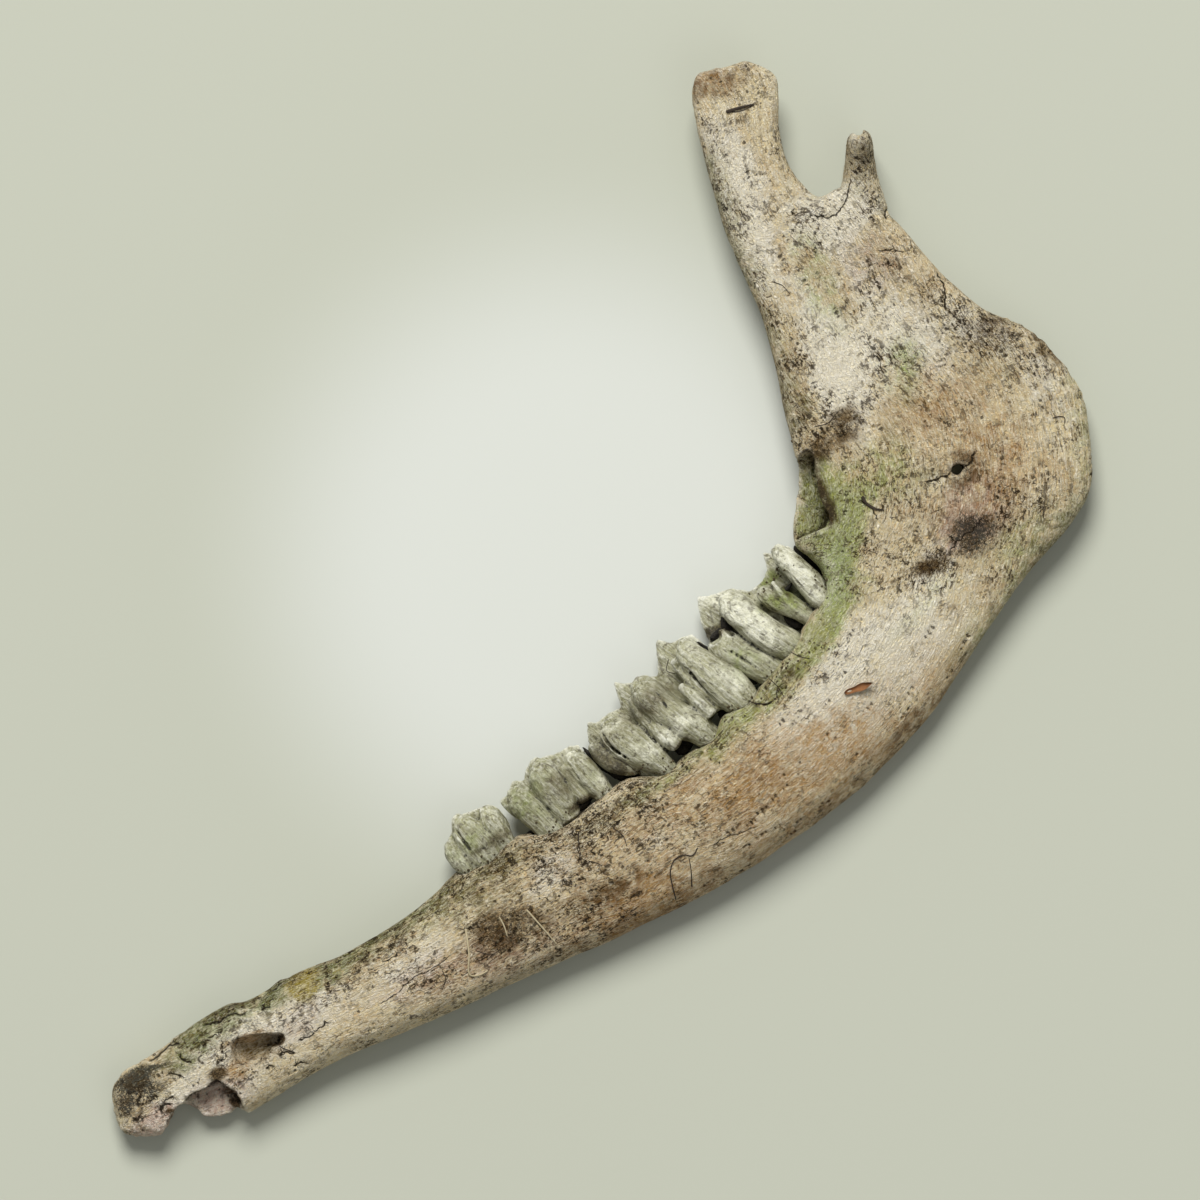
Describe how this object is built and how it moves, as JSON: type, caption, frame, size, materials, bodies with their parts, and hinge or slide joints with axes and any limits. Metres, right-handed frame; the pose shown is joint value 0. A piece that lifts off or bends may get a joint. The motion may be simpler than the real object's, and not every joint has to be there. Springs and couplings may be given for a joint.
{
  "type": "elk jawbone",
  "caption": "Weathered lower jaw half of a young elk, lying on its inner side: toothless chin end, cheek teeth in their sockets, and the upright branch with its prong and joint process.",
  "frame": {"origin": "middle of the bounding box, on the surface that the inner side rests on", "axes": "+X from the chin end back to the angle of the jaw, +Y from the lower border up to the teeth and the coronoid process, +Z from the inner side up to the cheek side"},
  "size_m": [0.2329, 0.129, 0.0188],
  "materials": {
    "weathered_bone": "matte",
    "old_enamel": "satin"
  },
  "bodies": {
    "root": {"jawbone": "weathered_bone", "premolar_2": "old_enamel", "premolar_3": "old_enamel", "premolar_4": "old_enamel", "molar_1": "old_enamel"}
  },
  "joints": []
}
